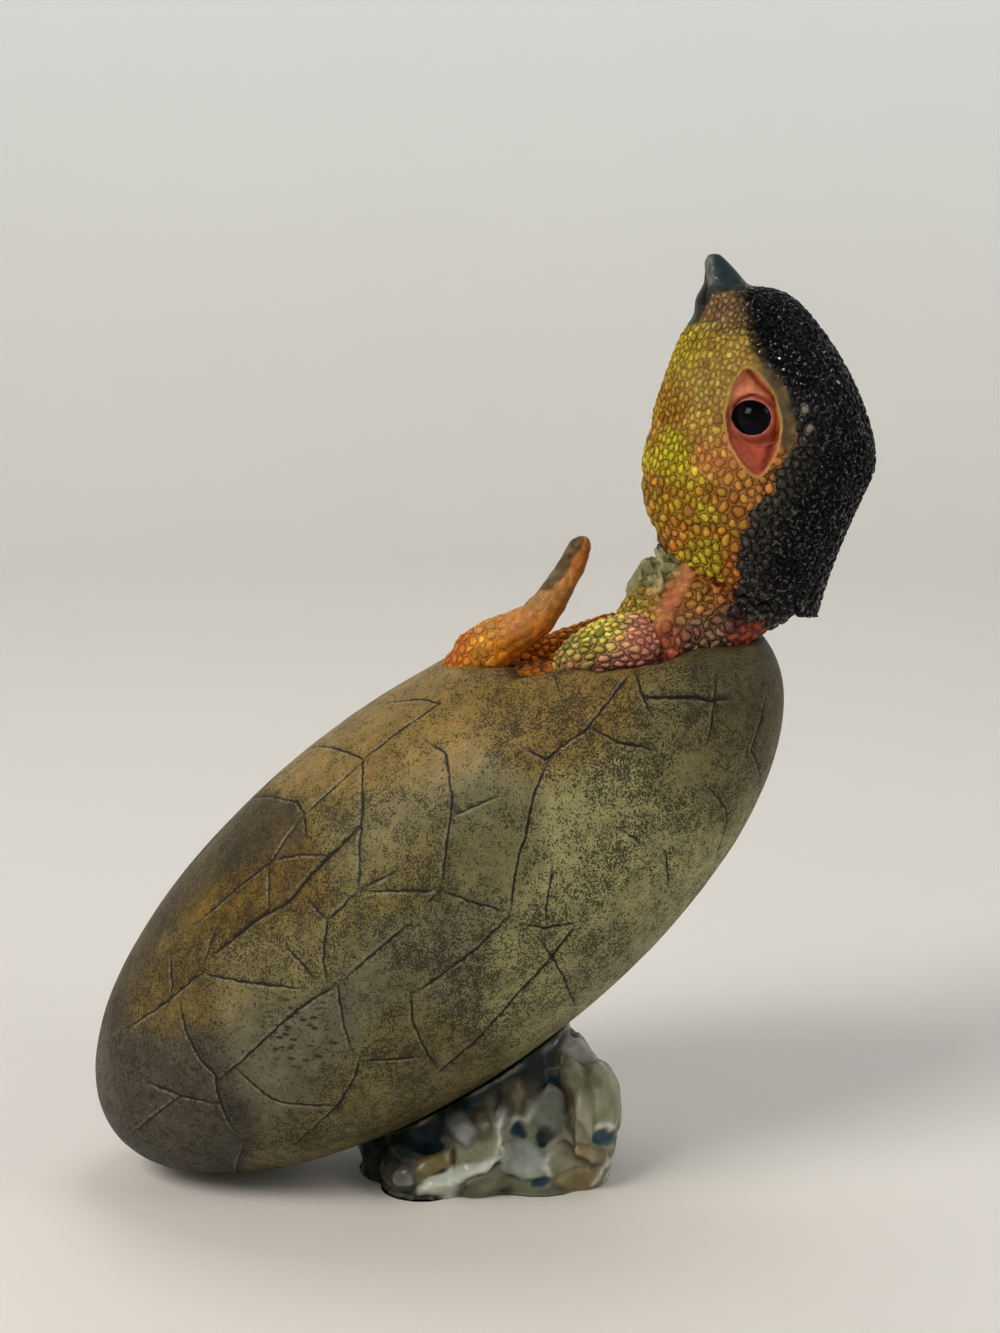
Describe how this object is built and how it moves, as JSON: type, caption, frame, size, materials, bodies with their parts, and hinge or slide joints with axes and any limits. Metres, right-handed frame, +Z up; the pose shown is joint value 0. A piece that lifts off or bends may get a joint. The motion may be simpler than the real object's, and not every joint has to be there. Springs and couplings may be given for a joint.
{
  "type": "dinosaur figurine",
  "caption": "Painted resin ornament of a scaly dinosaur hatchling looking up out of a cracked egg that leans on a small rock, standing on the rock's flat sole.",
  "frame": {"origin": "middle of the rock's flat sole, on the table", "axes": "+Z up; +X towards the hatchling's back, the way the egg's upper end points; -Y towards its left side, which faces the viewer"},
  "size_m": [0.142, 0.0694, 0.1697],
  "materials": {
    "rock": "satin",
    "shell": "satin",
    "skin": "satin",
    "eye": "gloss",
    "pin": "satin"
  },
  "bodies": {
    "root": {"rock_base": "rock", "egg_shell": "shell", "hatchling_torso": "skin", "hatchling_head": "skin", "hatchling_tail": "skin", "left_forearm": "skin", "right_forearm": "skin", "left_eye": "eye", "right_eye": "eye", "seat_dowel_low": "pin", "seat_dowel_high": "pin", "neck_dowel": "pin", "tail_dowel": "pin"}
  },
  "joints": []
}
